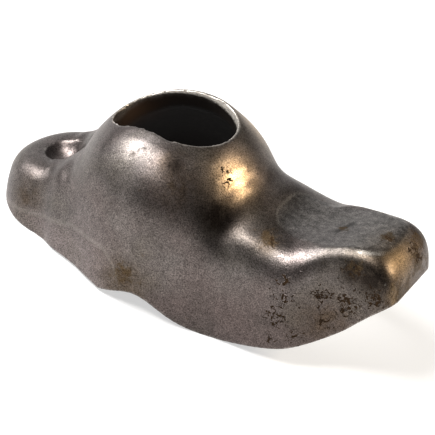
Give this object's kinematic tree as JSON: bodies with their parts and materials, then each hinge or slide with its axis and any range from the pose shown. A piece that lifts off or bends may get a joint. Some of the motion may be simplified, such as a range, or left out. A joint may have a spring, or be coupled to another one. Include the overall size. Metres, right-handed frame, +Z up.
{
  "type": "rocker arm",
  "caption": "Stamped sheet-steel rocker arm with a domed ball seat, a stud slot, a pushrod cup and a ground valve pad.",
  "frame": {"origin": "centre of the footprint, on the surface the arm rests on", "axes": "+X towards the valve tip, +Y across the arm, +Z up, trough down; the arm rests nose up on its rim"},
  "size_m": [0.075, 0.0356, 0.029],
  "materials": {
    "steel": "heat-treated stamped steel, satin dark grey, with light rust specks"
  },
  "bodies": {
    "root": {"rocker_arm": "steel"}
  },
  "joints": []
}
